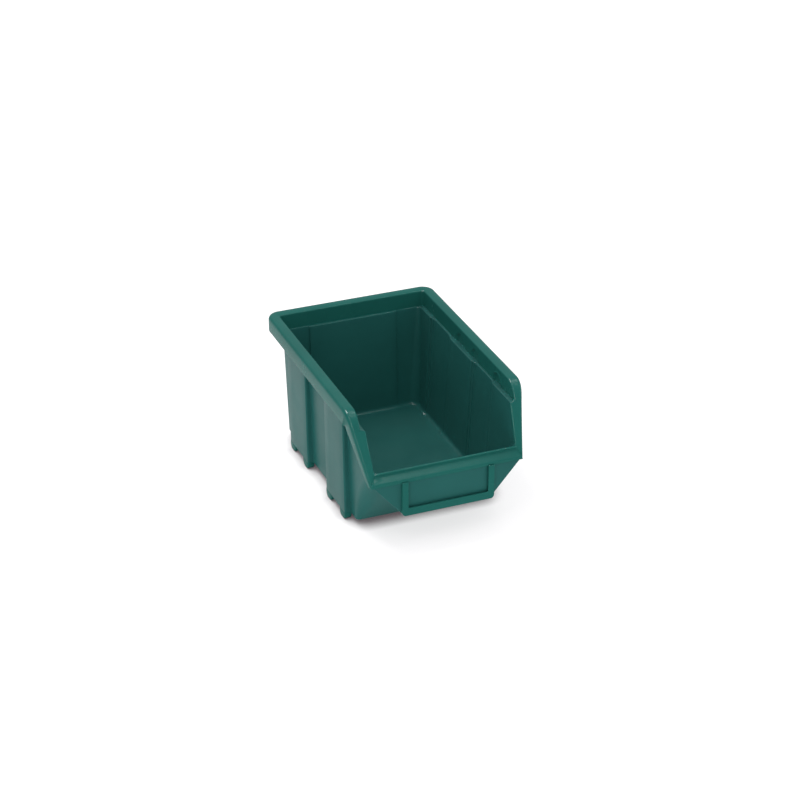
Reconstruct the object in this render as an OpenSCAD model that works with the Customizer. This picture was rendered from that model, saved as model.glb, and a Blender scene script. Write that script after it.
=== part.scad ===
// Stackable open-front storage bin, injection moulded in one shot.
// Each node is one named feature of the moulding. Neighbouring features meet face to face.
// Frame: origin on the ground under the middle of the bin, +X right, +Y back, +Z up, open front at -Y.
// Millimetres.

/* [Overall size] */
// Width over the rim
rim_w = 110; // [104:0.5:114]
// Depth from the front of the lip to the back of the rim
rim_d = 162; // [156:0.5:170]
// Height from the feet to the top of the rim
bin_h = 84; // [80:0.5:90]

/* [Walls] */
// Width of the body between the side pads, outside, just under the stacking ledge
body_w_top = 93.2; // [92:0.2:94]
// Width of the body between the side pads, outside, at the base
body_w_base = 89.8; // [88:0.2:91]
// Wall thickness just under the stacking ledge
wall_top = 1.3; // [1:0.1:1.8]
// Wall thickness at the base
wall_base = 2.6; // [1.6:0.1:3]
// Thickness of the floor
floor_t = 1.8; // [1.4:0.1:2.4]
// Height of the underside of the floor above the ground
base_z = 4.2; // [3.6:0.1:5]
// Outside radius of the body's upright corners
corner_r = 4; // [3:0.5:6]
// Outside radius that the front corners would widen to at the top of the rim
front_corner_r = 12; // [4:0.5:14]

/* [Back wall] */
// Distance of the back wall's face from the middle of the bin, at the ledge
back_y_top = 74.2; // [73:0.2:75]
// Distance of the back wall's face from the middle of the bin, at the base
back_y_base = 71.8; // [70:0.2:73]
// Half width of the shallow middle panel between the two corner pads
back_panel_x = 28; // [22:1:32]
// How far the corner pads stand behind the middle panel
back_pad_step = 1.1; // [0.6:0.1:1.4]

/* [Side pads] */
// Rear and front end of the rear pad, along Y
rear_pad = [57, 25];
// Rear and front end of the front pad, along Y
front_pad = [-7, -39];
// How far a pad stands out of the wall, just under the ledge
pad_out_top = 2.9; // [2:0.1:3.2]
// How far a pad stands out of the wall, at the base
pad_out_base = 3.8; // [3:0.1:4.2]
// Radius of a pad's upright edges
pad_r = 1.2; // [1:0.1:2.2]
// Depth of the shallow recess behind a pad, inside the bin just under the ledge
recess_top = 1.4; // [1:0.1:1.8]
// Depth of the shallow recess behind a pad, inside the bin at the base
recess_base = 0.3; // [0.2:0.1:1]

/* [Front] */
// Distance of the front wall's bottom edge in front of the middle of the bin
front_base_y = 48.5; // [46:0.5:52]
// How far the front wall leans forward for each millimetre of height
front_lean = 0.666; // [0.64:0.002:0.68]
// Height of the lower edge of the front lip
lip_z = 43.1; // [42:0.1:45]
// Width of the sloping face of the front lip
lip_band = 7.9; // [6:0.1:9]
// Depth of the groove along the lip
lip_groove = 0.9; // [0:0.1:1.1]
// How far the lip's nose stands out of the sloping face
lip_nose = 1; // [0:0.1:1.1]
// Y where the cheek line would meet the top of the rim
cheek_top_y = -60.3; // [-62:0.1:-58]
// Radius of the bend between the top of the rim and the cheek
bend_r = 12; // [11.5:0.5:16]

/* [Rim] */
// Thickness of the rim flange
flange_t = 1.8; // [1.4:0.1:2.2]
// Depth of the rim from its top face to the lower edge of its skirt
skirt_h = 10; // [8:0.5:11]
// Thickness of the skirt
skirt_t = 1.8; // [1.4:0.1:2.2]
// Depth of the skirt at the lower end of the cheek
skirt_lip = 4; // [2:0.5:8]
// Bevel along the rim's outer edge
rim_bevel = 1; // [0.2:0.1:1.4]
// Outside radius of the rim's back corners
rim_r = 8; // [7:0.5:10]
// How much narrower each side of the rim is at the lip than at the top
rim_taper = 7.3; // [6:0.1:7.6]

/* [Stacking collar] */
// Half width of the opening inside the collar
collar_x = 48.1; // [47.9:0.1:48.4]
// Distance of the collar's inner face behind the middle of the bin
collar_y = 74; // [73.9:0.1:74.4]
// Thickness of the collar
collar_t = 2.1; // [1.8:0.1:2.4]
// Height of the stacking ledge
ledge_z = 73.2; // [72:0.2:74]
// Thickness of the stacking ledge
ledge_t = 1.5; // [1.2:0.1:2]
// Y of the middle of each stacking notch in a side collar
notch_y = [16, -7, -40];
// Width of a stacking notch
notch_w = 10; // [8:0.5:11]
// Height of a stacking notch above the ledge
notch_h = 6.2; // [5.6:0.2:8.4]
// Inside radius of the collar's back corners
collar_r = 2.2; // [1.5:0.1:3]
// Depth of a stacking notch into the collar
notch_d = 1; // [0.6:0.1:1.5]

/* [Feet] */
// Length of a foot along Y
foot_w = 9; // [7:0.5:10]
// Thickness of a foot along X
foot_t = 4.2; // [3.5:0.1:4.5]
// Radius of a foot's lower corners
foot_r = 3; // [2:0.25:3.5]

/* [Label holder] */
// Front face of the label panel in front of the middle of the bin
panel_y = 79.1; // [78.6:0.1:79.4]
// Thickness of the label panel
panel_t = 1.6; // [1.2:0.1:1.8]
// Height of the panel's lower edge
panel_z = 21.4; // [20:0.2:24]
// Half width of the panel at its lower edge
panel_half_base = 27.6; // [26:0.2:28.4]
// Half width of the panel at the lip
panel_half_top = 46.2; // [45:0.2:46.8]
// Half width over the label frame
frame_half = 28.9; // [28.6:0.1:31]
// Width of a bar of the label frame
frame_bar = 4.2; // [3.6:0.1:5]
// Height of the label frame's lower bar
frame_bar_low = 5.2; // [4.6:0.1:6]
// Height of the tops of the frame's upright bars
frame_top_z = 41.4; // [40:0.1:41.8]
// How far the frame stands out of the panel
frame_out = 1.9; // [1.6:0.1:1.9]
// Clearance behind the bars that a label card slides into
card_gap = 0.9; // [0.6:0.1:1]
// Width of the foot that joins a bar to the panel
frame_root = 1.5; // [1.2:0.1:2]

/* [Hidden] */
$fn = 64;
hull_fn = 32;
green = "#1f6b5e";
green_light = "#2a7a6c";
green_dark = "#17564c";
rim_half = rim_w / 2;
back_edge = rim_d / 2;
floor_z = base_z + floor_t;
shell_top = ledge_z - ledge_t;
flange_z = bin_h - flange_t;
// The cheek leans back from the lip: its run over its rise, and its angle from the vertical
cheek_run = (back_edge - 1.1 + cheek_top_y) / (bin_h - lip_z);
cheek_angle = atan(cheek_run);
bend_turn = 90 - cheek_angle;
bend_y = cheek_top_y + bend_r * tan(bend_turn / 2);
bend_z = bin_h - bend_r;
bend_steps = 10;
// Direction from the rim's top face into the material, on the cheek
cheek_in = [cos(cheek_angle), -sin(cheek_angle)];
lip_top_z = lip_z + lip_band * cos(cheek_angle);
split_x = 36;
probe = 0.02;
reach = 200;

// ---- Profile of the opening, seen from the side ----

// Top face of the rim on the cheek line, at height z
function cheek_y(z) = cheek_top_y - cheek_run * (bin_h - z);
// Outer half width of the rim at height z
function rim_x(z) = rim_half - rim_taper * (bin_h - z) / (bin_h - lip_z);
// Stretches of side wall behind the rear pads and between the pads, from front to back or back to front
rear_web = [rear_pad[0], rear_pad[0] + corner_r];
middle_web = [front_pad[0], rear_pad[1]];
recess_r = 0.6;
// Inner half width of the side wall at height z
function wall_x(z) =
    let (base = body_w_base / 2 - wall_base, top = body_w_top / 2 - wall_top)
    base + (top - base) * (z - base_z) / (shell_top - base_z);
// Inner half width of the rim at height z: the collar above the ledge, the wall below it
function inner_x(z) = z > ledge_z + flange_t * sin(cheek_angle) ? collar_x : wall_x(z);
// Point on the rim's top face after a turn through the bend, and its inward direction
function bend_at(turn) =
    [[bend_y - bend_r * sin(turn), bend_z + bend_r * cos(turn)], [sin(turn), -cos(turn)]];
function cheek_at(z) = [[cheek_y(z), z], cheek_in];
jog_z = ledge_z + flange_t * sin(cheek_angle);
bend_path = [for (i = [0:bend_steps]) bend_at(bend_turn * i / bend_steps)];
cheek_path = concat(bend_path, [cheek_at(jog_z + probe), cheek_at(jog_z - probe), cheek_at(lip_top_z)]);
skirt_path = concat(bend_path, [cheek_at(lip_top_z), cheek_at(lip_z)]);
// Depth of the skirt at height z: full down to the bend, then less toward the lip
function skirt_depth(z) =
    let (bend_end_z = bend_path[bend_steps][0][1])
    skirt_lip + (skirt_h - skirt_lip) * min(1, (z - lip_z) / (bend_end_z - lip_z));
function sunk(path, depth) = [for (p = path) p[0] + depth * p[1]];

// Everything that lies at least depth below the rim's top face
module below_rim(depth) {
    line = sunk(concat(bend_path, [cheek_at(lip_z - 20)]), depth);
    outline = concat([[reach, -reach], [reach, bin_h - depth]], line, [[line[len(line) - 1][0], -reach]]);
    rotate([90, 0, 90]) translate([0, 0, -reach / 2]) linear_extrude(reach) polygon(outline);
}

// Solid strip through a list of sections that all have the same number of corners
module strip(sections) {
    n = len(sections);
    m = len(sections[0]);
    points = [for (s = sections, p = s) p];
    near = [for (i = [0:n - 2], k = [0:m - 1]) [m * i + k, m * i + (k + 1) % m, m * (i + 1) + (k + 1) % m]];
    far = [for (i = [0:n - 2], k = [0:m - 1]) [m * i + k, m * (i + 1) + (k + 1) % m, m * (i + 1) + k]];
    first = [for (k = [0:m - 1]) m - 1 - k];
    last = [for (k = [0:m - 1]) m * (n - 1) + k];
    polyhedron(points, concat([first], near, far, [last]), convexity = 4);
}

// Point of a section at half width x and a depth below the rim's top face
function corner(p, x, depth) = [x, p[0][0] + depth * p[1][0], p[0][1] + depth * p[1][1]];
// Section of the flange, with its outer edge bevelled
function flange_section(p, x_in, x_out) = [
    corner(p, x_out - rim_bevel, 0), corner(p, x_in, 0), corner(p, x_in, flange_t),
    corner(p, x_out, flange_t), corner(p, x_out, rim_bevel)
];
// Section of the skirt, down to a depth
function skirt_section(p, x_out, depth) = [
    corner(p, x_out, flange_t), corner(p, x_out - skirt_t, flange_t),
    corner(p, x_out - skirt_t, depth), corner(p, x_out, depth)
];

// ---- Drafted body ----

// Upright block with rounded corners, given as [x0, x1, y0, y1] at its base and at its top.
// The corners have radius r, and front_top_r at the top of the front.
module drafted_block(base, top, r, front_top_r) {
    levels = [[base, base_z, r, r], [top, shell_top + skirt_h, front_top_r, r]];
    hull()
        for (level = levels, x = [0, 1], y = [2, 3])
            translate([
                level[0][x] + level[y] * (x == 0 ? 1 : -1),
                level[0][y] + level[y] * (y == 2 ? 1 : -1),
                level[1]
            ])
                cylinder(r = level[y], h = probe, $fn = hull_fn);
}

// A length that is known at the base and under the ledge, carried on up to the blocks' top
function carried(base, top) = base + (top - base) * (shell_top + skirt_h - base_z) / (shell_top - base_z);

// The body's block, moved in by a wall at its base and at its top
module body_block(in_base, in_top) {
    x_base = body_w_base / 2 - in_base;
    x_top = carried(x_base, body_w_top / 2 - in_top);
    y_base = back_y_base - in_base;
    y_top = carried(y_base, back_y_top - in_top);
    front_in = in_base / cos(atan(front_lean));
    front_top = front_base_y + front_lean * (shell_top + skirt_h - base_z);
    drafted_block(
        [-x_base, x_base, -front_base_y + front_in, y_base],
        [-x_top, x_top, -front_top + front_in, y_top],
        max(corner_r - in_base, 1.2),
        front_corner_r - in_top
    );
}

// One side pad's block on the right, from its rear end to its front end
module pad_block(ends) {
    x_base = body_w_base / 2 + pad_out_base;
    x_top = carried(x_base, body_w_top / 2 + pad_out_top);
    drafted_block([x_base - 12, x_base, ends[1], ends[0]], [x_top - 12, x_top, ends[1], ends[0]], pad_r, pad_r);
}

// Shallow recess in the wall's inner face behind a pad, which runs out toward the floor
module pad_recess(ends) {
    x_base = body_w_base / 2 - wall_base + recess_base;
    x_top = carried(x_base, body_w_top / 2 - wall_top + recess_top);
    rear = ends[0] - (wall_base + wall_top) / 2;
    front = ends[1] + (wall_base + wall_top) / 2;
    drafted_block([x_base - 12, x_base, front, rear], [x_top - 12, x_top, front, rear], recess_r, recess_r);
}

// The two corner pads' blocks on the back wall
module back_pad_block(in_base, in_top) {
    x_base = body_w_base / 2 - in_base;
    x_top = carried(x_base, body_w_top / 2 - in_top);
    y_base = back_y_base + back_pad_step - in_base;
    y_top = carried(y_base, back_y_top + back_pad_step - in_top);
    inner = back_panel_x + in_base / 2 + in_top / 2;
    r = max(pad_r - in_top / 2, 0.6);
    drafted_block([inner, x_base, y_base - 14, y_base], [inner, x_top, y_top - 14, y_top], r, r);
}

module between(x, y, z) {
    translate([x[0], y[0], z[0]]) cube([x[1] - x[0], y[1] - y[0], z[1] - z[0]]);
}

// Part of the plain wall that lies in a box and below the rim
module wall_part(x, y) {
    intersection() {
        difference() {
            body_block(0, 0);
            body_block(wall_base, wall_top);
        }
        between(x, y, [floor_z, shell_top]);
        below_rim(flange_t);
    }
}

// One side pad on the right, with its two returns
module pad_part(ends) {
    intersection() {
        difference() {
            union() {
                body_block(0, 0);
                pad_block(ends);
            }
            body_block(wall_base, wall_top);
            pad_recess(ends);
        }
        between([0, reach], [ends[1], ends[0]], [floor_z, shell_top]);
    }
}

// Rear corner on the right, with the corner pad of the back wall
module rear_corner_part() {
    intersection() {
        difference() {
            union() {
                body_block(0, 0);
                back_pad_block(0, 0);
            }
            body_block(wall_base, wall_top);
            back_pad_block(wall_base, wall_top);
        }
        between([back_panel_x, reach], [rear_pad[0] + corner_r, reach], [floor_z, shell_top]);
    }
}

// ---- Rim ----

// Plan outline with rounded back corners, out to half width x and back to y
module plan(x, y, r) {
    translate([-x, -reach]) square([2 * x, reach + y - r]);
    translate([-x + r, -reach]) square([2 * (x - r), reach + y]);
    for (side = [-1, 1]) translate([side * (x - r), y - r]) circle(r);
}

// Upright ring between two plan outlines
module ring(x_out, y_out, r_out, x_in, y_in, r_in, z) {
    translate([0, 0, z[0]]) linear_extrude(z[1] - z[0]) difference() {
        plan(x_out, y_out, r_out);
        plan(x_in, y_in, r_in);
    }
}

module collar_ring() {
    ring(collar_x + collar_t, collar_y + collar_t, collar_r + collar_t, collar_x, collar_y, collar_r,
        [ledge_z, flange_z]);
}

// Flat slab of the rim's full outline, with its upper edge bevelled
module rim_slab() {
    hull() {
        translate([0, 0, flange_z]) linear_extrude(flange_t - rim_bevel) plan(rim_half, back_edge, rim_r);
        translate([0, 0, flange_z]) linear_extrude(flange_t)
            plan(rim_half - rim_bevel, back_edge - rim_bevel, rim_r - rim_bevel);
    }
}

module flange_ring() {
    difference() {
        rim_slab();
        translate([0, 0, flange_z - 1]) linear_extrude(flange_t + 2) plan(collar_x, collar_y, collar_r);
    }
}

module skirt_ring() {
    ring(rim_half, back_edge, rim_r, rim_half - skirt_t, back_edge - skirt_t, rim_r - skirt_t,
        [bin_h - skirt_h, flange_z]);
}

module ledge_ring() {
    translate([0, 0, shell_top]) linear_extrude(ledge_t)
        plan(collar_x + collar_t, collar_y + collar_t, collar_r + collar_t);
}

// Half-round topped recess in the right collar for a foot of the bin above
module notch(y) {
    r = notch_w / 2;
    translate([collar_x - 1, y, ledge_z + notch_h - r]) rotate([0, 90, 0]) cylinder(r = r, h = notch_d + 1);
    between([collar_x - 1, collar_x + notch_d], [y - r, y + r], [ledge_z - 1, ledge_z + notch_h - r]);
}

// ---- Sub-parts on the right, mirrored for the left ----

module side_ledge_part() {
    intersection() {
        difference() {
            ledge_ring();
            body_block(wall_base, wall_top);
            pad_recess(rear_pad);
            pad_recess(front_pad);
        }
        between([0, reach], [-reach, back_y_top - corner_r], [0, reach]);
        below_rim(flange_t);
    }
}

module side_collar_part() {
    intersection() {
        difference() {
            collar_ring();
            for (y = notch_y) notch(y);
        }
        between([0, reach], [-reach, collar_y - collar_r], [0, reach]);
        below_rim(flange_t);
    }
}

module side_rim_part() {
    intersection() {
        flange_ring();
        between([0, reach], [bend_y, collar_y - collar_r], [0, reach]);
    }
}

module side_skirt_part() {
    intersection() {
        skirt_ring();
        between([0, reach], [bend_y, back_edge - rim_r], [0, reach]);
    }
}

module cheek_part() {
    strip([for (p = cheek_path) flange_section(p, inner_x(p[0][1]), rim_x(p[0][1]))]);
}

module cheek_skirt_part() {
    strip([for (p = skirt_path) skirt_section(p, rim_x(p[0][1]), skirt_depth(p[0][1]))]);
}

module front_corner_part() {
    wall_part([split_x, reach], [-reach, front_pad[1]]);
}

module feet_part() {
    x = body_w_base / 2 + pad_out_base;
    for (ends = [rear_pad, front_pad], y = [ends[0] - foot_w, ends[1]])
        translate([x - foot_t, y, 0]) rotate([90, 0, 90]) linear_extrude(foot_t) {
            translate([foot_r, 0]) square([foot_w - 2 * foot_r, base_z]);
            translate([0, foot_r]) square([foot_w, base_z - foot_r]);
            for (u = [foot_r, foot_w - foot_r]) translate([u, foot_r]) circle(foot_r);
        }
}

// ---- Sub-parts that cross the middle ----

module floor_plate() {
    color(green_dark) intersection() {
        union() {
            body_block(0, 0);
            for (side = [0, 1], ends = [rear_pad, front_pad]) mirror([side, 0, 0]) pad_block(ends);
            for (side = [0, 1]) mirror([side, 0, 0]) back_pad_block(0, 0);
        }
        between([-reach, reach], [-reach, reach], [base_z, floor_z]);
    }
}

module back_wall() {
    color(green) wall_part([-back_panel_x, back_panel_x], [0, reach]);
}

module front_wall() {
    color(green) wall_part([-split_x, split_x], [-reach, 0]);
}

module back_ledge() {
    color(green_light) intersection() {
        difference() {
            ledge_ring();
            body_block(wall_base, wall_top);
            for (side = [0, 1]) mirror([side, 0, 0]) back_pad_block(wall_base, wall_top);
        }
        between([-reach, reach], [back_y_top - corner_r, reach], [0, reach]);
    }
}

module back_collar() {
    color(green) intersection() {
        collar_ring();
        between([-reach, reach], [collar_y - collar_r, reach], [0, reach]);
    }
}

module back_rim() {
    color(green_light) intersection() {
        flange_ring();
        between([-reach, reach], [collar_y - collar_r, reach], [0, reach]);
    }
}

module back_skirt() {
    color(green) intersection() {
        skirt_ring();
        between([-reach, reach], [back_edge - rim_r, reach], [0, reach]);
    }
}

// Section of the lip: distance up the slope and height over the sloping face
lip_profile = [
    [0, 0], [0, -flange_t], [lip_band, -flange_t], [lip_band, 0], [lip_band - 0.8, 0],
    [lip_band - 1.6, -lip_groove], [lip_band - 2.2, -lip_groove], [1.9, lip_nose], [1.3, lip_nose]
];

// Lies in the cheek's slope, across the front
module front_lip() {
    color(green_light) translate([0, cheek_y(lip_z), lip_z]) rotate([90 - cheek_angle, 0, 0]) intersection() {
        translate([0, 0, -flange_t]) linear_extrude(flange_t + lip_nose) polygon([
            [-rim_x(lip_z), 0], [rim_x(lip_z), 0],
            [rim_x(lip_top_z), lip_band], [-rim_x(lip_top_z), lip_band]
        ]);
        rotate([90, 0, 90]) translate([0, 0, -reach / 2]) linear_extrude(reach) polygon(lip_profile);
    }
}

module label_panel() {
    color(green) difference() {
        translate([0, -panel_y + panel_t, 0]) rotate([90, 0, 0]) linear_extrude(panel_t) polygon([
            [-panel_half_base, panel_z], [panel_half_base, panel_z],
            [panel_half_top, lip_z + 1], [-panel_half_top, lip_z + 1]
        ]);
        front_lip();
    }
}

// Flat U outline of the label frame, with a bar of the given width
module frame_outline(bar, bar_low) {
    r = 2.5;
    difference() {
        union() {
            translate([-frame_half, panel_z + r]) square([2 * frame_half, frame_top_z - panel_z - r]);
            translate([-frame_half + r, panel_z]) square([2 * (frame_half - r), frame_top_z - panel_z]);
            for (side = [-1, 1]) translate([side * (frame_half - r), panel_z + r]) circle(r);
        }
        translate([-frame_half + bar, panel_z + bar_low]) square([2 * (frame_half - bar), reach]);
    }
}

// Bars on a narrow root, so that a card slides in behind them from above
module label_frame() {
    color(green_light) {
        translate([0, -panel_y, 0]) rotate([90, 0, 0])
            linear_extrude(card_gap) frame_outline(frame_root, frame_root + frame_bar_low - frame_bar);
        translate([0, -panel_y - card_gap, 0]) rotate([90, 0, 0])
            linear_extrude(frame_out - card_gap) frame_outline(frame_bar, frame_bar_low);
    }
}

// ---- Sides ----

module left() {
    mirror([1, 0, 0]) children();
}

module left_rear_corner() { color(green) left() rear_corner_part(); }
module right_rear_corner() { color(green) rear_corner_part(); }
module left_front_corner() { color(green) left() front_corner_part(); }
module right_front_corner() { color(green) front_corner_part(); }
module left_rear_pad() { color(green_light) left() pad_part(rear_pad); }
module right_rear_pad() { color(green_light) pad_part(rear_pad); }
module left_front_pad() { color(green_light) left() pad_part(front_pad); }
module right_front_pad() { color(green_light) pad_part(front_pad); }
module left_rear_web() { color(green) left() wall_part([split_x, reach], rear_web); }
module right_rear_web() { color(green) wall_part([split_x, reach], rear_web); }
module left_middle_web() { color(green) left() wall_part([split_x, reach], middle_web); }
module right_middle_web() { color(green) wall_part([split_x, reach], middle_web); }
module left_ledge() { color(green_light) left() side_ledge_part(); }
module right_ledge() { color(green_light) side_ledge_part(); }
module left_collar() { color(green) left() side_collar_part(); }
module right_collar() { color(green) side_collar_part(); }
module left_rim() { color(green_light) left() side_rim_part(); }
module right_rim() { color(green_light) side_rim_part(); }
module left_skirt() { color(green) left() side_skirt_part(); }
module right_skirt() { color(green) side_skirt_part(); }
module left_cheek() { color(green_light) left() cheek_part(); }
module right_cheek() { color(green_light) cheek_part(); }
module left_cheek_skirt() { color(green) left() cheek_skirt_part(); }
module right_cheek_skirt() { color(green) cheek_skirt_part(); }
module left_feet() { color(green_dark) left() feet_part(); }
module right_feet() { color(green_dark) feet_part(); }

floor_plate();
back_wall();
front_wall();
left_rear_corner();
right_rear_corner();
left_front_corner();
right_front_corner();
left_rear_pad();
right_rear_pad();
left_front_pad();
right_front_pad();
left_rear_web();
right_rear_web();
left_middle_web();
right_middle_web();
left_ledge();
right_ledge();
back_ledge();
left_collar();
right_collar();
back_collar();
left_rim();
right_rim();
back_rim();
left_skirt();
right_skirt();
back_skirt();
left_cheek();
right_cheek();
left_cheek_skirt();
right_cheek_skirt();
front_lip();
label_panel();
label_frame();
left_feet();
right_feet();
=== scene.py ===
"""Looks of the stackable storage bin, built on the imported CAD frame. Metres, row frame."""

import math

import bmesh
import bpy
import numpy as np
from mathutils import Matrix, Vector


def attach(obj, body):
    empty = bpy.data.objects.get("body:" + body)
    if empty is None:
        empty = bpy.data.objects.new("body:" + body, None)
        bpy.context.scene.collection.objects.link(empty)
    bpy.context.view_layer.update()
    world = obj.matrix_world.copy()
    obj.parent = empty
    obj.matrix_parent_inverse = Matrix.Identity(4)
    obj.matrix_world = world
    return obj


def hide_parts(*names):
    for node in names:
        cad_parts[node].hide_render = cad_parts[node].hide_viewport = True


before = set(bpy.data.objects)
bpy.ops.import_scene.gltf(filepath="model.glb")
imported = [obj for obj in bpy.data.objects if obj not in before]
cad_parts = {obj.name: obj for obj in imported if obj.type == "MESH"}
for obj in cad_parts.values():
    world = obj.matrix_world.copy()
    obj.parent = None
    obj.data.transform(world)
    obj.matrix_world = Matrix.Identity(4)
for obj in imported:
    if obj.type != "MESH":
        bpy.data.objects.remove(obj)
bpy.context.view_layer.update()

MM = 0.001

# ---- Sizes, in millimetres ----

RIM_X, BACK_Y, TOP = 55.0, 81.0, 84.0
RIM_R, FLANGE_T, SKIRT_T, SKIRT_H = 8.0, 1.8, 1.8, 10.0
COLLAR_X, COLLAR_Y, COLLAR_T, COLLAR_R = 48.1, 74.0, 2.1, 2.2
LEDGE_Z, LEDGE_T = 73.2, 1.5
BASE_Z, FLOOR_Z = 4.2, 6.0
LIP_Z, LIP_Y, LIP_BAND = 43.1, -79.9, 7.9
CHEEK_TOP_Y = -60.3
CHEEK_RUN = (BACK_Y - 1.1 + CHEEK_TOP_Y) / (TOP - LIP_Z)
CHEEK = math.atan(CHEEK_RUN)
RIM_TAPER = 7.3
BEND_R = 12.0
CHEEK_SKIRT, LIP_SKIRT = 10.0, 4.5
SHELL_TOP = LEDGE_Z - LEDGE_T

UP_SLOPE = np.array([0.0, math.sin(CHEEK), math.cos(CHEEK)])
INTO = np.array([0.0, math.cos(CHEEK), -math.sin(CHEEK)])


def cheek_y(z):
    return CHEEK_TOP_Y - CHEEK_RUN * (TOP - z)


def rim_x(z):
    return RIM_X - RIM_TAPER * (TOP - z) / (TOP - LIP_Z)


def lerp(a, b, t):
    return a + (b - a) * t


def at_height(base, top, z):
    """A length that is base at the underside and top under the ledge."""
    return lerp(base, top, (z - BASE_Z) / (SHELL_TOP - BASE_Z))


def wall_in_x(z):
    return at_height(42.3, 45.3, z)


def wall_out_x(z):
    return at_height(44.9, 46.6, z)


# ---- Mesh helpers ----


def new_object(name, verts, faces, sharp_deg=38.0):
    mesh = bpy.data.meshes.new(name)
    mesh.from_pydata([tuple(v) for v in np.asarray(verts, float) * MM], [], [tuple(f) for f in faces])
    bm = bmesh.new()
    bm.from_mesh(mesh)
    bmesh.ops.remove_doubles(bm, verts=bm.verts, dist=2e-6)
    bmesh.ops.dissolve_degenerate(bm, dist=1e-6, edges=bm.edges)
    bmesh.ops.recalc_face_normals(bm, faces=bm.faces)
    bm.to_mesh(mesh)
    bm.free()
    mesh.shade_smooth()
    mesh.set_sharp_from_angle(angle=math.radians(sharp_deg))
    obj = bpy.data.objects.new(name, mesh)
    bpy.context.scene.collection.objects.link(obj)
    return obj


def grid_faces(n_rows, n_cols, wrap_rows=False, wrap_cols=False):
    """Quads of a grid whose vertex (row, col) is row * n_cols + col."""
    faces = []
    for r in range(n_rows if wrap_rows else n_rows - 1):
        r2 = (r + 1) % n_rows
        for c in range(n_cols if wrap_cols else n_cols - 1):
            c2 = (c + 1) % n_cols
            faces.append((r * n_cols + c, r * n_cols + c2, r2 * n_cols + c2, r2 * n_cols + c))
    return faces


def arc(n, start, end):
    return np.radians(np.linspace(start, end, n))


def bezier(p0, p1, p2, n):
    """n points along a curve from p0 to p2 that is pulled to p1, for arrays of points."""
    ts = np.linspace(0, 1, n)
    return [(1 - t) ** 2 * p0 + 2 * t * (1 - t) * p1 + t**2 * p2 for t in ts]


# ---- Tub: floor, walls, pads, corners, ledge ----

ARC_N = 8
# Rear and front ends of the side pads, along Y
PADS = ((57.0, 25.0), (-7.0, -39.0))
# How much shorter the recess behind a pad is at each end
INSET = 1.0


def pad_edge(y, toward, height, convex, concave, ramp=0.0):
    """Plan points (y, offset) across one pad edge, from the wall out to the pad. toward is -1 or +1 in Y."""
    pts = []
    for t in arc(5, 0, 90):
        pts.append((y - toward * (concave - concave * math.sin(t)), concave - concave * math.cos(t)))
    for t in arc(6, 0, 90):
        pts.append(
            (y + toward * (ramp + convex - convex * math.cos(t)), height - convex + convex * math.sin(t))
        )
    return pts


def side_plan(height, inset, convex, concave, ramp=0.0):
    """Plan points (y, offset) along a side from the rear to the front, over both pads."""
    pts = [(y, 0.0) for y in (62.5, 59.5)]
    for rear, front in PADS:
        rear, front = rear - inset, front + inset
        pts += pad_edge(rear, -1, height, convex, concave, ramp)
        pts += [(lerp(rear, front, t), height) for t in (0.25, 0.5, 0.75)]
        pts += pad_edge(front, +1, height, convex, concave, ramp)[::-1]
        if rear > 0:
            pts += [(y, 0.0) for y in (20.0, 9.0, -2.0)]
    return pts


def back_plan(height, inset, convex, concave):
    """Plan points (x, offset) along the back from the middle to the right, over the corner pad."""
    pts = [(x, 0.0) for x in (0.0, 9.0, 18.0, 25.0)]
    edge = 28.0 + inset
    for t in arc(4, 0, 90):
        pts.append((edge - concave + concave * math.sin(t), concave - concave * math.cos(t)))
    for t in arc(4, 0, 90):
        pts.append((edge + convex - convex * math.cos(t), height - convex + convex * math.sin(t)))
    return pts + [(34.0, height)]


def half_outline(z, outer):
    """Right half of the plan outline at height z, from the back's middle to the front pad's front edge.
    Returns points and plan directions away from the cavity, for the fillets at the floor."""
    if outer:
        x, y = wall_out_x(z), at_height(71.8, 74.2, z)
        pad, step = at_height(3.8, 2.9, z), 1.1
        side = side_plan(pad, 0.0, 1.2, 0.4)
        back = back_plan(step, 0.0, 0.6, 0.4)
        r = 4.0
    else:
        x, y = wall_in_x(z), at_height(69.9, 72.4, z)
        pad, step = at_height(0.3, 1.4, z), at_height(0.5, 1.1, z)
        side = side_plan(pad, INSET, 0.45 * pad, 0.55 * pad, 2.5)
        back = back_plan(step, 0.9, 0.36 * step, 0.54 * step)
        r = at_height(6.5, 3.0, z)
    pts = [(px, y + off) for px, off in back]
    out = [(0.0, 1.0)] * len(pts)
    cx, cy = x - r, y + step - r
    for t in arc(ARC_N, 90, 0):
        pts.append((cx + r * math.cos(t), cy + r * math.sin(t)))
        out.append((math.cos(t), math.sin(t)))
    pts += [(x + off, py) for py, off in side]
    out += [(1.0, 0.0)] * len(side)
    return np.array(pts), np.array(out)


def ring_outline(x, y, r, plan_in):
    """Collar ring outline with one point for each point of the plan outline."""
    n_back = len(back_plan(1.1, 0.0, 0.6, 0.4))
    pts = []
    cx, cy = x - r, y - r
    for k, (px, py) in enumerate(plan_in):
        if k < n_back:
            pts.append((min(px, cx), y))
        elif k < n_back + ARC_N:
            t = math.radians(lerp(90, 0, (k - n_back) / (ARC_N - 1)))
            pts.append((cx + r * math.cos(t), cy + r * math.sin(t)))
        else:
            pts.append((x, min(py, cy)))
    return np.array(pts)


FAN_LEDGE, FAN_CHEEK, CORNER_N, FRONT_N = 10, 26, 12, 8
# Depth of the walls' top edge under the cheeks' sloping face
SINK = 0.9
LEDGE_END_Y = cheek_y(LEDGE_Z) + SINK / math.cos(CHEEK)


def in_plane(x, s, depth):
    """Point of the cheek plane: x across, s up the slope from the lip's lower edge, depth into the part."""
    return np.array([x, LIP_Y, LIP_Z]) + UP_SLOPE * s + INTO * depth


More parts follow.
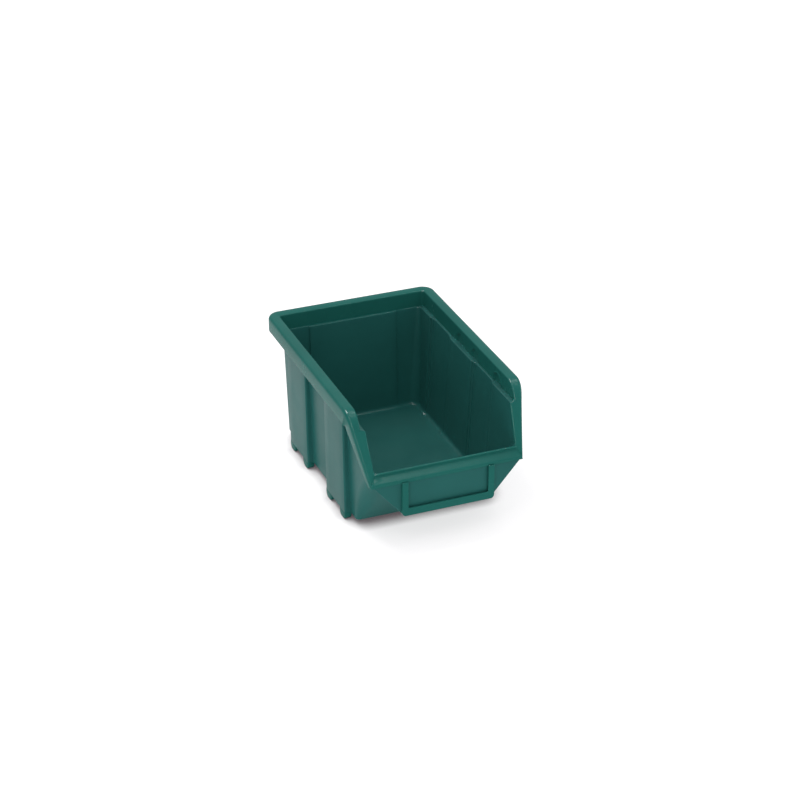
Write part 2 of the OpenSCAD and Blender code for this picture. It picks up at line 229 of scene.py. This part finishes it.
# Height of the columns' middle points, as a part of the way up
MID = 0.72
# About the length of a column from floor to ledge, which turns a radius into a part of the way up
COLUMN = 66.0


def front_columns(outer):
    """Bottom, middle and top points of the right half's columns before the front pad, and floor directions.
    The upright corner widens from the floor to the middle, and is sharp again under the lip."""
    z0 = BASE_Z if outer else FLOOR_Z
    x_at = wall_out_x if outer else wall_in_x
    front_y = -48.5 if outer else -46.4
    r_low, r_mid, r_high = (2.4, 8.5, 4.0) if outer else (2.6, 7.5, 3.0)
    push = 1.3 if outer else -0.15
    start_y = -39.0 - (0.4 if outer else -INSET + 1.0)
    n_fan = FAN_LEDGE + FAN_CHEEK
    corner_s = LIP_BAND - 0.6 * push + r_high
    s_ledge = (LEDGE_Z - LIP_Z) / UP_SLOPE[2] + SINK * math.tan(CHEEK)
    corner_x = x_at(LIP_Z + 8.0)
    front_top = in_plane(0.0, corner_s - r_high, SINK)

    def front_at(z):
        return lerp(front_y, front_top[1], (z - z0) / (front_top[2] - z0))

    steps = np.linspace(0, 1, FAN_LEDGE + 1)[1:]
    tops = [(x_at(LEDGE_Z), lerp(start_y, LEDGE_END_Y, t), LEDGE_Z) for t in steps]
    for t in np.linspace(0, 1, FAN_CHEEK + 1)[1:]:
        p = in_plane(0.0, lerp(s_ledge, corner_s, t), SINK)
        tops.append((x_at(p[2]), p[1], p[2]))
    fan = np.linspace(0, 1, n_fan + 1)[1:]
    bottoms = [(x_at(z0), lerp(start_y, front_y + r_low, t), z0) for t in fan]
    mids = []
    last = lerp(bottoms[-1][1], tops[-1][1], MID)
    squeeze = (front_at(lerp(z0, tops[-1][2], MID)) + r_mid - start_y) / (last - start_y)
    for low, top in zip(bottoms, tops):
        z = lerp(z0, top[2], MID)
        mids.append((x_at(z), start_y + (lerp(low[1], top[1], MID) - start_y) * squeeze, z))
    outs = [(1.0, 0.0)] * n_fan
    for t in arc(CORNER_N, 0, 90)[1:]:
        c, s = math.cos(t), math.sin(t)
        bottoms.append((x_at(z0) - r_low + r_low * c, front_y + r_low - r_low * s, z0))
        outs.append((c, -s))
        p = in_plane(corner_x - r_high + r_high * c, corner_s - r_high * s, SINK)
        tops.append(tuple(p))
        z = lerp(z0, p[2], MID)
        mids.append((x_at(z) - r_mid + r_mid * c, front_at(z) + r_mid - r_mid * s, z))
    for t in np.linspace(0, 1, FRONT_N + 1)[1:]:
        bottoms.append(((x_at(z0) - r_low) * (1 - t), front_y, z0))
        tops.append(((corner_x - r_high) * (1 - t), front_top[1], front_top[2]))
        z = lerp(z0, front_top[2], MID)
        mids.append(((x_at(z) - r_mid) * (1 - t), front_at(z), z))
        outs.append((0.0, -1.0))
    return np.array(bottoms), np.array(mids), np.array(tops), np.array(outs)


def half_columns(outer):
    """All columns of the right half, from the back's middle to the front's middle."""
    z0 = BASE_Z if outer else FLOOR_Z
    z1 = LEDGE_Z
    low, out = half_outline(z0, outer)
    high, _ = half_outline(z1, outer)
    bottoms = np.c_[low, np.full(len(low), z0)]
    tops = np.c_[high, np.full(len(high), z1)]
    fb, fm, ft, fo = front_columns(outer)
    return np.r_[bottoms, fb], np.r_[lerp(bottoms, tops, MID), fm], np.r_[tops, ft], np.r_[out, fo], len(low)


def along(low, mid, high, t):
    """Point of each column at fraction t, on the parabola through its bottom, middle and top."""
    return (
        low * (t - MID) * (t - 1) / MID
        + mid * t * (t - 1) / (MID * (MID - 1))
        + high * t * (t - MID) / (1 - MID)
    )


def mirrored(half):
    """Closed loop from the right half: back's middle, right side, front's middle, left side."""
    left = half[1:-1][::-1] * np.array([-1.0] + [1.0] * (half.shape[1] - 1))
    return np.r_[half, left]


def shrunk(loop, part):
    """The loop drawn in toward the middle of the floor."""
    middle = np.array([0.0, 11.5, 0.0]) * np.ones_like(loop)
    middle[:, 2] = loop[:, 2]
    return lerp(loop, middle, part)


def build_tub():
    ib, im, it, io, n_plain = half_columns(False)
    ob, om, ot, oo, _ = half_columns(True)
    n_half = len(ib)
    io3 = np.c_[io, np.zeros(n_half)]
    oo3 = np.c_[oo, np.zeros(n_half)]
    on_ledge = np.arange(n_half) < n_plain + FAN_LEDGE
    # Inner wall, from the floor up
    fillet = 2.4
    foot = along(ib, im, it, fillet / COLUMN)
    rows = [shrunk(ib - io3 * fillet, 0.06)]
    rows += bezier(ib - io3 * fillet, ib, foot, 6)
    for t in (0.12, 0.22, 0.34, 0.46, 0.58, 0.68, 0.78, 0.86, 0.93, 0.97):
        rows.append(along(ib, im, it, t))
    near_top = along(ib, im, it, 0.99)
    out_top = np.where(on_ledge[:, None], io3, 0.0)
    rows += bezier(near_top, it, it + out_top * 0.55, 5)
    # Ledge and its slab
    ring_xy = ring_outline(COLLAR_X + COLLAR_T, COLLAR_Y + COLLAR_T, COLLAR_R + COLLAR_T, it[:, :2])
    ring_top = np.c_[ring_xy, np.full(n_half, LEDGE_Z)]
    ring_low = np.c_[ring_xy, np.full(n_half, SHELL_TOP)]
    slab_in = np.array([lerp(b, t, (SHELL_TOP - b[2]) / (t[2] - b[2])) for b, t in zip(ob, ot)])
    for loop in (ring_top, ring_low, slab_in):
        loop[~on_ledge] = ot[~on_ledge]
    rows += [ring_top, ring_low, slab_in]
    # Outer wall, down to the base
    for t in (0.93, 0.86, 0.78, 0.68, 0.58, 0.46, 0.34, 0.22, 0.12):
        rows.append(along(ob, om, ot, t))
    edge = 1.0
    rows += bezier(along(ob, om, ot, edge / COLUMN), ob, ob - oo3 * edge, 5)
    rows.append(shrunk(ob - oo3 * edge, 0.04))
    loops = [mirrored(r) for r in rows]
    n_cols = len(loops[0])
    verts = np.concatenate(loops)
    faces = grid_faces(len(loops), n_cols, wrap_cols=True)
    faces.append(tuple(range(n_cols)))
    last = (len(loops) - 1) * n_cols
    faces.append(tuple(range(last + n_cols - 1, last - 1, -1)))
    return new_object("tub", verts, faces)


# ---- Rim: collar, flange, skirt, bends, cheeks and lip, as one sweep ----

NOTCH_Y, NOTCH_W, NOTCH_H, NOTCH_D = (16.0, -7.0, -40.0), 10.0, 6.2, 0.8
# Height of a notch's raised edge, how far outside the notch it starts, and its width
NOTCH_BEAD, EDGE_START, EDGE_W = 0.45, 0.35, 0.9


def notch_depth(y, z):
    """Depth of the stacking notches in the collar's face at a point.
    A later notch's zero depth replaces an earlier one's raised edge, so only the front notch shows it."""
    best = 0.0
    r = NOTCH_W / 2
    zc = LEDGE_Z + NOTCH_H - r
    for yc in NOTCH_Y:
        dy = abs(y - yc)
        away = math.hypot(dy, z - zc) - r if z > zc else dy - r
        t = min(max((EDGE_START - away) / EDGE_W, 0.0), 1.0)
        best = max(best, NOTCH_D * t * t * (3 - 2 * t))
        if EDGE_START < away < EDGE_START + EDGE_W:
            best = -NOTCH_BEAD * math.sin(math.pi * (away - EDGE_START) / EDGE_W)
    return best


class Station:
    """One place along the rim: inner and outer edge on its top face, in-face directions and the way in."""

    def __init__(self, p_in, p_out, o_in, o_out, n, collar, skirt, lip=0.0, groove=0.0):
        self.p_in, self.p_out = np.array(p_in, float), np.array(p_out, float)
        self.o_in, self.o_out = np.array(o_in, float), np.array(o_out, float)
        self.n = np.array(n, float)
        self.collar, self.skirt, self.lip, self.groove = collar, skirt, lip, groove


def right_stations():
    st = []
    down = (0, 0, -1.0)
    depth = TOP - LEDGE_Z + 0.4
    for x in (0.0, 12.0, 24.0, 36.0, 43.0):
        st.append(Station((x, COLLAR_Y, TOP), (x, BACK_Y, TOP), (0, 1, 0), (0, 1, 0), down, depth, SKIRT_H))
    for t in arc(14, 90, 0):
        c, s = math.cos(t), math.sin(t)
        p_in = (COLLAR_X - COLLAR_R + COLLAR_R * c, COLLAR_Y - COLLAR_R + COLLAR_R * s, TOP)
        p_out = (RIM_X - RIM_R + RIM_R * c, BACK_Y - RIM_R + RIM_R * s, TOP)
        st.append(Station(p_in, p_out, (c, s, 0), (c, s, 0), down, depth, SKIRT_H))
    turn = math.pi / 2 - CHEEK
    bend_y = CHEEK_TOP_Y + BEND_R * math.tan(turn / 2)
    ys = [66.0, 58.0, 50.0, 42.0, 34.0, 27.0]
    for yc in NOTCH_Y:
        ys += list(yc + np.linspace(6.6, -6.6, 37))
    ys += [8.0, -14.0, -20.0, -26.0, -31.0, -49.0, bend_y + 0.6]
    for y in sorted(ys, reverse=True):
        st.append(Station((COLLAR_X, y, TOP), (RIM_X, y, TOP), (1, 0, 0), (1, 0, 0), down, depth, SKIRT_H))
    for t in np.linspace(0, turn, 15):
        skirt = SKIRT_H + 2.5 * math.sin(math.pi * t / turn)
        y, z = bend_y - BEND_R * math.sin(t), TOP - BEND_R + BEND_R * math.cos(t)
        n = (0, math.sin(t), -math.cos(t))
        st.append(
            Station(
                (COLLAR_X, y, z), (rim_x(z), y, z), (1, 0, 0), (1, 0, 0), n,
                (z - LEDGE_Z + 0.4) / math.cos(t), skirt, 0.0, GROOVE * t / turn,
            )
        )
    # Cheek: the collar runs out at the ledge, where the inner edge steps in to the wall
    z_bend = st[-1].p_in[2]
    jog = LEDGE_Z + FLANGE_T * math.sin(CHEEK)
    for z in np.r_[np.linspace(z_bend, jog + 0.9, 5)[1:], np.linspace(jog + 0.6, jog - 0.9, 7)]:
        t = min(max((jog + 0.6 - z) / 1.5, 0.0), 1.0)
        t = t * t * (3 - 2 * t)
        x_in = lerp(COLLAR_X, wall_in_x(z) - 0.25, t)
        y = cheek_y(z)
        collar = max((z - LEDGE_Z + 0.4) / math.sin(CHEEK), FLANGE_T + 0.05)
        st.append(
            Station(
                (x_in, y, z), (rim_x(z), y, z), (1, 0, 0), (1, 0, 0), INTO,
                collar, CHEEK_SKIRT, 0.0, GROOVE,
            )
        )
    s_top = (jog - 1.2 - LIP_Z) / UP_SLOPE[2]
    r_in, r_out = 0.7, 0.5
    x_lip_in, x_lip_out = wall_in_x(LIP_Z + 7) - 0.25, rim_x(LIP_Z)
    slope = (rim_x(LIP_Z + 20) - rim_x(LIP_Z)) / 20 * UP_SLOPE[2]
    for s in np.linspace(s_top, LIP_BAND + r_in, 16):
        z = LIP_Z + s * UP_SLOPE[2]
        t = (s_top - s) / (s_top - LIP_BAND - r_in)
        # The outer edge runs down to the corner while the inner edge stops above it
        s_out = lerp(s_top, r_out, t)
        p_in = in_plane(wall_in_x(z) - 0.25, s, 0)
        p_out = in_plane(x_lip_out + slope * s_out, s_out, 0)
        skirt = lerp(CHEEK_SKIRT, LIP_SKIRT, t)
        st.append(Station(p_in, p_out, (1, 0, 0), (1, 0, 0), INTO, FLANGE_T + 0.05, skirt, 0.0, GROOVE))
    for t in arc(10, 0, 90)[1:]:
        c, s = math.cos(t), math.sin(t)
        f = t / (math.pi / 2)
        p_in = in_plane(x_lip_in - r_in + r_in * c, LIP_BAND + r_in - r_in * s, 0)
        p_out = in_plane(x_lip_out - r_out + r_out * c, r_out - r_out * s, 0)
        o = np.array([c, 0, 0]) - UP_SLOPE * s
        skirt = lerp(LIP_SKIRT, 1.8, min(1.0, 2 * f))
        st.append(Station(p_in, p_out, o, o, INTO, FLANGE_T + 0.05, skirt, f, GROOVE))
    for t in np.linspace(0, 1, 9)[1:]:
        x_i, x_o = (x_lip_in - r_in) * (1 - t), (x_lip_out - r_out) * (1 - t)
        st.append(
            Station(
                in_plane(x_i, LIP_BAND, 0), in_plane(x_o, 0, 0), -UP_SLOPE, -UP_SLOPE, INTO,
                FLANGE_T + 0.05, 1.8, 1.0,
            )
        )
    return st


# Rim's rounded outer edge, the crown of its top and the groove along the cheeks
BEAD_X, BEAD_Z, CROWN, GROOVE = 1.7, 2.3, 0.7, 0.7
# Lip section as (slope distance from the inner edge, depth): ridge, groove, shelf, nose and front face
LIP_TOP = (
    (-0.45, 0.75), (-0.30, 0.30), (0.0, 0.02), (0.35, 0.0), (0.65, 0.25), (0.95, 0.75), (1.25, 1.12),
    (1.6, 1.22), (2.2, 0.95), (3.2, 0.42), (4.2, -0.12), (5.2, -0.65), (5.9, -1.02), (6.25, -1.12),
    (6.6, -1.02), (7.0, -0.72), (7.4, -0.38), (7.9, 0.0),
)


def top_profile(s, width):
    """Points of the rim's crowned top from its inner edge to the skirt, as (distance across, depth)."""
    def crown(u):
        return CROWN * (2 * u / width - 1) ** 2

    r_in = min(0.8, 0.3 * width)
    bead = min(BEAD_X, 0.55 * width)
    pts = [(r_in - r_in * math.cos(t), crown(r_in) + r_in - r_in * math.sin(t)) for t in arc(6, 0, 90)]
    for f, part in ((0.15, 0.4), (0.4, 1.0), (0.9, 0.1)):
        u = lerp(r_in, width - bead, f)
        pts.append((u, crown(u) + s.groove * part))
    for t in arc(9, 90, 0):
        pts.append((width - bead + bead * math.cos(t), crown(width - bead) + BEAD_Z - BEAD_Z * math.sin(t)))
    return pts


def section_points(s):
    """Closed section of the rim at a station, from the collar's lower inner corner over the top and back."""
    width = np.linalg.norm(s.p_out - s.p_in)
    across = (s.p_out - s.p_in) / width
    pts = []
    # Inner face of the collar, upward
    z_low, z_high = LEDGE_Z - 0.4, LEDGE_Z + NOTCH_H + 2.6
    n_face = 24
    top = top_profile(s, width)
    first = lerp(top[0][1], LIP_TOP[0][1], s.lip)
    for k in range(n_face):
        d = lerp(s.collar, max(s.collar - (z_high - z_low), first + 0.2), k / (n_face - 1))
        d = max(d, first)
        p = s.p_in + s.n * d + across * lerp(0.0, LIP_TOP[0][0], s.lip)
        if abs(s.n[2] + 1) < 1e-6 and abs(s.o_in[0] - 1) < 1e-6:
            p = p + s.o_in * notch_depth(p[1], p[2])
        pts.append(p)
    for (u, d), (lu, ld) in zip(top, LIP_TOP):
        u, d = lerp(u, lu / LIP_BAND * width, s.lip), lerp(d, ld, s.lip)
        pts.append(s.p_in + across * u + s.n * d)
    # Skirt, with a rounded lower edge
    r_low = lerp(0.5, 0.3, s.lip)
    for t in arc(5, 0, 90):
        low = s.n * (s.skirt - r_low + r_low * math.sin(t))
        pts.append(s.p_out - s.o_out * (r_low - r_low * math.cos(t)) + low)
    for t in arc(5, 90, 0):
        pts.append(
            s.p_out - s.o_out * (SKIRT_T - r_low + r_low * math.cos(t))
            + s.n * (s.skirt - r_low + r_low * math.sin(t))
        )
    # Underside of the flange and the collar's outer face, with small fillets
    f = 0.5
    under = s.p_out - s.o_out * SKIRT_T
    collar_out = s.p_in + s.o_in * min(COLLAR_T, 0.4 * width)
    for t in arc(4, 0, 90):
        pts.append(under - s.o_out * (f - f * math.cos(t)) + s.n * (FLANGE_T + f - f * math.sin(t)))
    f2 = min(f, max(s.collar - FLANGE_T - 0.02, 0.01))
    for t in arc(4, 90, 0):
        pts.append(collar_out + s.o_in * (f2 - f2 * math.cos(t)) + s.n * (FLANGE_T + f2 - f2 * math.sin(t)))
    pts.append(collar_out + s.n * s.collar)
    return np.array(pts)


def build_rim():
    half = [section_points(s) for s in right_stations()]
    flip = np.array([-1.0, 1.0, 1.0])
    loops = half + [h * flip for h in half[1:-1][::-1]]
    n = len(loops[0])
    faces = grid_faces(len(loops), n, wrap_rows=True, wrap_cols=True)
    return new_object("rim", np.concatenate(loops), faces, 50.0)


# ---- Label panel and frame ----


def rounded_polygon(corners, radii, n=7):
    """Plan polygon with rounded corners, counter-clockwise."""
    pts = []
    m = len(corners)
    for k in range(m):
        p, a, b = (np.array(corners[i % m], float) for i in (k, k - 1, k + 1))
        r = radii[k]
        if r <= 0:
            pts.append(p)
            continue
        da, db = (a - p) / np.linalg.norm(a - p), (b - p) / np.linalg.norm(b - p)
        half = math.acos(max(-1, min(1, float(da @ db)))) / 2
        cut = r / math.tan(half)
        centre = p + (da + db) / np.linalg.norm(da + db) * r / math.sin(half)
        v0, v1 = p + da * cut - centre, p + db * cut - centre
        a0 = math.atan2(v0[1], v0[0])
        turn = (math.atan2(v1[1], v1[0]) - a0 + math.pi) % (2 * math.pi) - math.pi
        for t in np.linspace(0, 1, n):
            pts.append(centre + r * np.array([math.cos(a0 + turn * t), math.sin(a0 + turn * t)]))
    return np.array(pts)


def offset_inward(poly, d):
    """Outline moved inward by d along its corner normals. Counter-clockwise."""
    m = len(poly)
    out = []
    for k in range(m):
        a, p, b = poly[k - 1], poly[k], poly[(k + 1) % m]
        e0, e1 = p - a, b - p
        n0 = np.array([-e0[1], e0[0]]) / max(np.linalg.norm(e0), 1e-9)
        n1 = np.array([-e1[1], e1[0]]) / max(np.linalg.norm(e1), 1e-9)
        bis = n0 + n1
        length = np.linalg.norm(bis)
        bis = bis / length if length > 1e-6 else n0
        out.append(p + bis * d / max(float(bis @ n0), 0.35))
    return np.array(out)


def plate(name, poly, y_front, y_back, edge):
    """Plate in the XZ plane with rounded edges. poly holds (x, z), counter-clockwise seen from the front."""
    loops = []
    for t in arc(5, 0, 90):
        ring = offset_inward(poly, edge * (1 - math.sin(t)))
        loops.append(np.c_[ring[:, 0], np.full(len(ring), y_front + edge * (1 - math.cos(t))), ring[:, 1]])
    for t in arc(5, 90, 0):
        ring = offset_inward(poly, edge * (1 - math.sin(t)))
        loops.append(np.c_[ring[:, 0], np.full(len(ring), y_back - edge * (1 - math.cos(t))), ring[:, 1]])
    n = len(poly)
    faces = grid_faces(len(loops), n, wrap_cols=True)
    faces.append(tuple(range(n)))
    last = (len(loops) - 1) * n
    faces.append(tuple(range(last + n - 1, last - 1, -1)))
    return new_object(name, np.concatenate(loops), faces, 40.0)


PANEL_Y, PANEL_T, PANEL_Z = -79.1, 1.6, 21.4
BARS_FRONT, BARS_BACK, ROOT_FRONT = -81.0, -80.0, -80.3


def build_panel():
    corners = [
        (-27.6, PANEL_Z), (27.6, PANEL_Z), (46.4, LIP_Z + 0.2), (46.2, LIP_Z + 1.6), (-46.2, LIP_Z + 1.6),
        (-46.4, LIP_Z + 0.2),
    ]
    poly = rounded_polygon(corners, [1.5, 1.5, 1.0, 0.3, 0.3, 1.0])
    return plate("label_panel_skin", poly, PANEL_Y, PANEL_Y + PANEL_T, 0.5)


def build_frame():
    half, bar, low, top, r = 28.9, 3.9, 4.9, LIP_Z + 0.6, 2.4
    inner = half - bar
    corners = [
        (-half, PANEL_Z), (half, PANEL_Z), (half, top), (inner, top),
        (inner, PANEL_Z + low), (-inner, PANEL_Z + low), (-inner, top), (-half, top),
    ]
    poly = rounded_polygon(corners, [r, r, 0.5, 0.5, 0.6, 0.6, 0.5, 0.5])
    bars = plate("label_frame_bars", poly, BARS_FRONT, BARS_BACK, 0.35)
    root = 1.5
    corners = [
        (-half, PANEL_Z), (half, PANEL_Z), (half, top), (half - root, top),
        (half - root, PANEL_Z + 2.0), (-half + root, PANEL_Z + 2.0), (-half + root, top), (-half, top),
    ]
    poly = rounded_polygon(corners, [r, r, 0.2, 0.2, 0.4, 0.4, 0.2, 0.2])
    return bars, plate("label_frame_root", offset_inward(poly, 0.02), ROOT_FRONT, PANEL_Y + 0.4, 0.1)


# ---- Feet ----


def build_feet(side):
    """Four rounded feet under the ends of the pads on one side."""
    verts, faces = [], []
    x_out, depth, length, top, edge = 48.7, 4.4, 9.0, 5.2, 0.6
    # A foot's ends stand just proud of the pad's, so that no two faces lie in one plane
    proud = 0.03
    for y in (48.0, 25.0, -16.0, -39.0):
        rear, front = y + length + proud, y - proud
        poly = rounded_polygon([(front, 0.0), (rear, 0.0), (rear, top), (front, top)], [3.2, 3.2, 0, 0], 9)
        loops = []
        for t in arc(4, 0, 90):
            ring = offset_inward(poly, edge * (1 - math.sin(t)))
            loops.append(np.c_[np.full(len(ring), x_out - edge * (1 - math.cos(t))), ring])
        for t in arc(4, 90, 0):
            ring = offset_inward(poly, edge * (1 - math.sin(t)))
            loops.append(np.c_[np.full(len(ring), x_out - depth + edge * (1 - math.cos(t))), ring])
        n, base = len(poly), len(verts)
        verts += [v * np.array([side, 1.0, 1.0]) for loop in loops for v in loop]
        faces += [tuple(i + base for i in f) for f in grid_faces(len(loops), n, wrap_cols=True)]
        faces.append(tuple(base + i for i in range(n)))
        faces.append(tuple(base + len(loops) * n - 1 - i for i in range(n)))
    return new_object(("left" if side < 0 else "right") + "_foot_blocks", verts, faces)


tub = build_tub()
rim = build_rim()
panel = build_panel()
frame_bars, frame_root = build_frame()
left_feet = build_feet(-1)
right_feet = build_feet(1)


# ---- Material ----


def plastic(name, green, specular, rough_low, rough_high, grain_strength):
    m = bpy.data.materials.new(name)
    m.use_nodes = True
    nt = m.node_tree
    nt.nodes.clear()
    out = nt.nodes.new("ShaderNodeOutputMaterial")
    bsdf = nt.nodes.new("ShaderNodeBsdfPrincipled")
    nt.links.new(bsdf.outputs[0], out.inputs[0])
    coord = nt.nodes.new("ShaderNodeTexCoord")

    def noise(scale, detail, rough=0.5):
        n = nt.nodes.new("ShaderNodeTexNoise")
        n.inputs["Scale"].default_value = scale
        n.inputs["Detail"].default_value = detail
        n.inputs["Roughness"].default_value = rough
        nt.links.new(coord.outputs["Object"], n.inputs["Vector"])
        return n

    def ramp(src, lo, hi, a, b):
        r = nt.nodes.new("ShaderNodeMapRange")
        r.inputs["From Min"].default_value = lo
        r.inputs["From Max"].default_value = hi
        r.inputs["To Min"].default_value = a
        r.inputs["To Max"].default_value = b
        nt.links.new(src, r.inputs["Value"])
        return r

    cloud = noise(28.0, 3.0)
    mix = nt.nodes.new("ShaderNodeMix")
    mix.data_type = "RGBA"
    mix.inputs["A"].default_value = (*green, 1)
    mix.inputs["B"].default_value = (*(1.14 * c for c in green), 1)
    nt.links.new(ramp(cloud.outputs["Fac"], 0.3, 0.7, 0, 1).outputs[0], mix.inputs["Factor"])
    nt.links.new(mix.outputs["Result"], bsdf.inputs["Base Color"])
    smear = noise(60.0, 4.0)
    rough = ramp(smear.outputs["Fac"], 0.3, 0.7, rough_low, rough_high)
    nt.links.new(rough.outputs[0], bsdf.inputs["Roughness"])
    bsdf.inputs["IOR"].default_value = 1.5
    bsdf.inputs["Specular IOR Level"].default_value = specular
    grain = noise(2600.0, 2.0)
    wave = noise(220.0, 2.0)
    bump = nt.nodes.new("ShaderNodeBump")
    bump.inputs["Strength"].default_value = grain_strength
    bump.inputs["Distance"].default_value = 0.0001
    nt.links.new(grain.outputs["Fac"], bump.inputs["Height"])
    bump2 = nt.nodes.new("ShaderNodeBump")
    bump2.inputs["Strength"].default_value = 0.015
    bump2.inputs["Distance"].default_value = 0.0004
    nt.links.new(wave.outputs["Fac"], bump2.inputs["Height"])
    nt.links.new(bump.outputs["Normal"], bump2.inputs["Normal"])
    nt.links.new(bump2.outputs["Normal"], bsdf.inputs["Normal"])
    return m


satin = plastic("green_polypropylene_satin", (0.0125, 0.108, 0.092), 0.036, 0.22, 0.28, 0.02)
matte = plastic("green_polypropylene_matte", (0.0155, 0.101, 0.0925), 0.055, 0.30, 0.37, 0.05)
STANDS_FOR = {
    tub: [
        "floor_plate", "back_wall", "front_wall", "left_rear_corner", "right_rear_corner", "left_front_corner",
        "right_front_corner", "left_rear_pad", "right_rear_pad", "left_front_pad", "right_front_pad",
        "left_rear_web", "right_rear_web", "left_middle_web", "right_middle_web", "left_ledge", "right_ledge",
        "back_ledge",
    ],
    rim: [
        "left_collar", "right_collar", "back_collar", "left_rim", "right_rim", "back_rim", "left_skirt",
        "right_skirt", "back_skirt", "left_cheek", "right_cheek", "left_cheek_skirt", "right_cheek_skirt",
        "front_lip",
    ],
    panel: ["label_panel"],
    frame_bars: ["label_frame"],
    frame_root: ["label_frame"],
    left_feet: ["left_feet"],
    right_feet: ["right_feet"],
}
for piece, nodes in STANDS_FOR.items():
    piece.data.materials.append(matte if piece in (tub, panel) else satin)
    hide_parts(*nodes)
    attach(piece, "root")

# ---- Studio ----

floor_mesh = bpy.data.meshes.new("studio_floor")
floor_mesh.from_pydata([(-6, -6, 0), (6, -6, 0), (6, 6, 0), (-6, 6, 0)], [], [(0, 1, 2, 3)])
floor = bpy.data.objects.new("studio_floor", floor_mesh)
bpy.context.scene.collection.objects.link(floor)
fm = bpy.data.materials.new("studio_floor")
fm.use_nodes = True
ft = fm.node_tree
paint = ft.nodes["Principled BSDF"]
paint.inputs["Base Color"].default_value = (0.32, 0.312, 0.32, 1)
paint.inputs["Roughness"].default_value = 0.9
paint.inputs["Emission Strength"].default_value = 0.67
# A thin warm contact shadow close under the feet and walls
near = ft.nodes.new("ShaderNodeAmbientOcclusion")
near.samples = 16
near.inputs["Distance"].default_value = 0.010
open_sky = ft.nodes.new("ShaderNodeMapRange")
open_sky.inputs["From Min"].default_value = 0.30
open_sky.inputs["From Max"].default_value = 0.90
ft.links.new(near.outputs["AO"], open_sky.inputs["Value"])
tint = ft.nodes.new("ShaderNodeMix")
tint.data_type = "RGBA"
tint.inputs["A"].default_value = (0.105, 0.075, 0.085, 1)
tint.inputs["B"].default_value = (1.0, 0.995, 1.0, 1)
ft.links.new(open_sky.outputs[0], tint.inputs["Factor"])
ft.links.new(tint.outputs["Result"], paint.inputs["Emission Color"])
floor_mesh.materials.append(fm)

world = bpy.data.worlds.new("studio")
bpy.context.scene.world = world
world.use_nodes = True
wt = world.node_tree
sky_coord = wt.nodes.new("ShaderNodeTexCoord")
split = wt.nodes.new("ShaderNodeSeparateXYZ")
wt.links.new(sky_coord.outputs["Generated"], split.inputs[0])
height = wt.nodes.new("ShaderNodeMapRange")
height.inputs["From Min"].default_value = 0.0
height.inputs["From Max"].default_value = 0.9
height.inputs["To Min"].default_value = 0.20
height.inputs["To Max"].default_value = 1.50
wt.links.new(split.outputs["Z"], height.inputs["Value"])
backdrop = wt.nodes.new("ShaderNodeMapRange")
backdrop.inputs["From Min"].default_value = 0.35
backdrop.inputs["From Max"].default_value = 0.85
backdrop.inputs["To Max"].default_value = 0.25
wt.links.new(split.outputs["Y"], backdrop.inputs["Value"])
total = wt.nodes.new("ShaderNodeMath")
wt.links.new(height.outputs[0], total.inputs[0])
wt.links.new(backdrop.outputs[0], total.inputs[1])
wt.nodes["Background"].inputs["Color"].default_value = (1.0, 1.0, 1.0, 1)
wt.links.new(total.outputs[0], wt.nodes["Background"].inputs["Strength"])


def highlight(name, place, aim, size, power):
    """Small lamp that only shows in reflections, so that it casts no hard shadow on the white floor."""
    data = bpy.data.lights.new(name, "AREA")
    data.shape = "RECTANGLE"
    data.size, data.size_y = size
    data.energy = power
    obj = bpy.data.objects.new(name, data)
    obj.location = place
    obj.rotation_euler = (Vector(aim) - Vector(place)).to_track_quat("-Z", "Y").to_euler()
    bpy.context.scene.collection.objects.link(obj)
    obj.visible_diffuse = False


AIM = (0, 0, 0.05)
highlight("overhead", (-0.20, 0.20, 0.85), AIM, (0.24, 0.24), 65.0)
highlight("front_right", (0.20, -0.25, 0.85), AIM, (0.14, 0.14), 1.8)
highlight("overhead_right", (0.32, 0.08, 0.85), AIM, (0.20, 0.20), 4.0)
highlight("overhead_left", (-0.33, -0.43, 0.78), AIM, (0.16, 0.16), 10.0)
highlight("right_edge", (1.30, -0.25, 0.15), AIM, (0.6, 0.8), 20.0)
highlight("left_edge", (-0.90, -0.95, 0.45), AIM, (0.5, 0.5), 40.0)

cam_data = bpy.data.cameras.new("photo_camera")
cam_data.lens = 101.37
cam_data.sensor_width = 36.0
cam = bpy.data.objects.new("photo_camera", cam_data)
azimuth, elevation = math.radians(-22.02), math.radians(28.29)
toward = Vector(
    (math.sin(azimuth) * math.cos(elevation), -math.cos(azimuth) * math.cos(elevation), math.sin(elevation))
)
cam.location = (-0.4466, -1.1098, 0.6956)
cam.rotation_euler = (-toward).to_track_quat("-Z", "Y").to_euler()
bpy.context.scene.collection.objects.link(cam)
bpy.context.scene.camera = cam
bpy.context.scene.view_settings.view_transform = "Standard"
